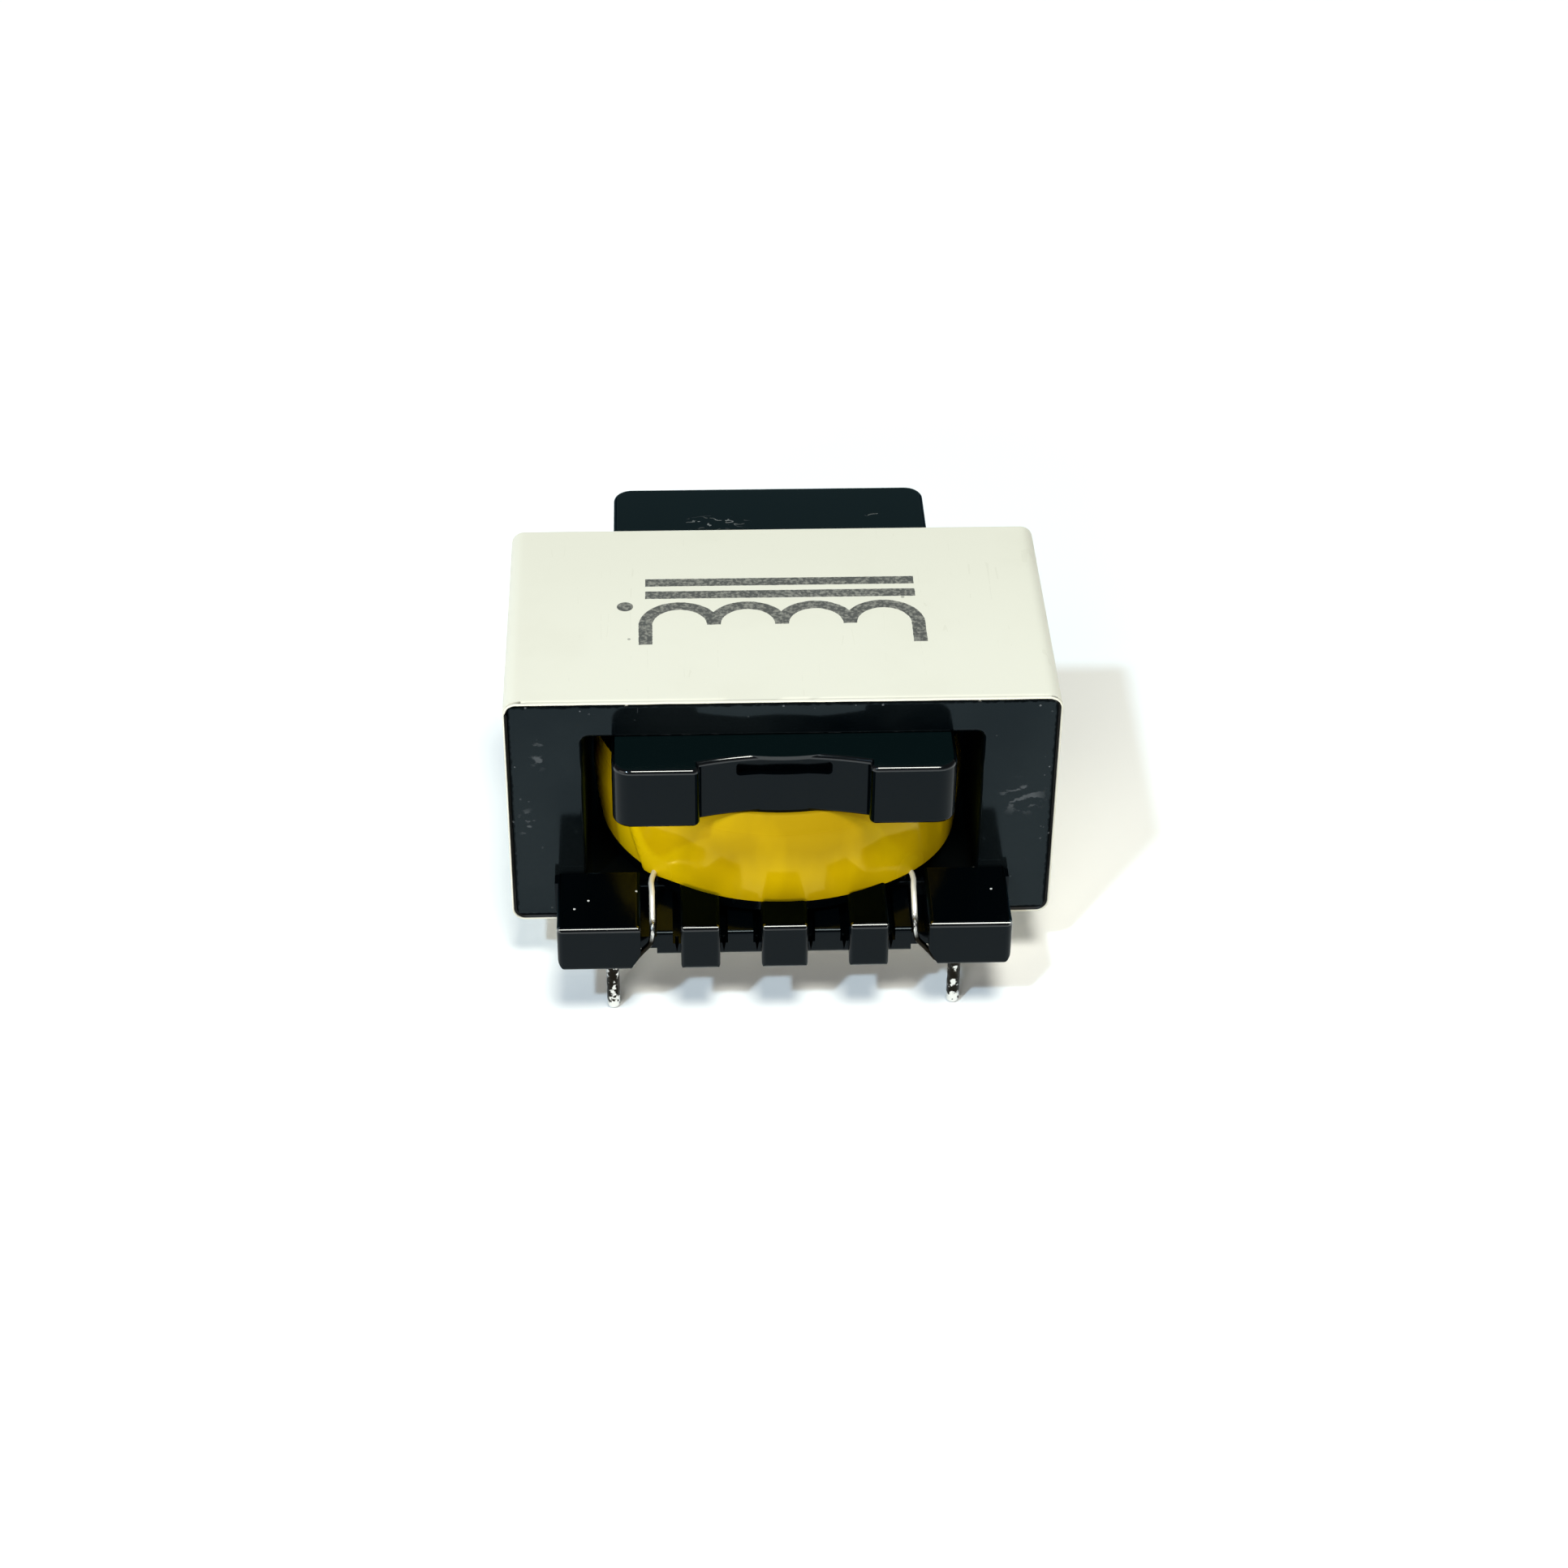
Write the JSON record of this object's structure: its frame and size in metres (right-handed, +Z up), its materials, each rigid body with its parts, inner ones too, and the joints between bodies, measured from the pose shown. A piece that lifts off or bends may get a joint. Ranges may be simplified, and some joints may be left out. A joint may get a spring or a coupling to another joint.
{
  "type": "through-hole ferrite core inductor",
  "caption": "Through-hole inductor with a taped coil on a pinned black bobbin inside a banded rectangular ferrite core with a round centre post.",
  "frame": {"origin": "in the middle of the four pins, at the level of their tips", "axes": "+Z up from the pin tips to the top of the core, +X along the core's width, and the front with the leads faces -Y"},
  "size_m": [0.024, 0.0248, 0.0142],
  "materials": {
    "ferrite": "semi-gloss sintered ferrite",
    "band": "satin off-white tape",
    "bobbin": "glossy black moulded plastic",
    "copper": "enamelled copper wire with tinned ends",
    "tape": "glossy yellow film tape",
    "tinned": "tinned wire",
    "solder": "bright solder"
  },
  "bodies": {
    "root": {"core_half_upper": "ferrite", "core_half_lower": "ferrite", "core_band": "band", "bobbin": "bobbin", "winding": "copper", "winding_tape": "tape", "pin_front_left": "tinned", "pin_front_right": "tinned", "pin_rear_left": "tinned", "pin_rear_right": "tinned", "solder_left": "solder", "solder_right": "solder"}
  },
  "joints": []
}
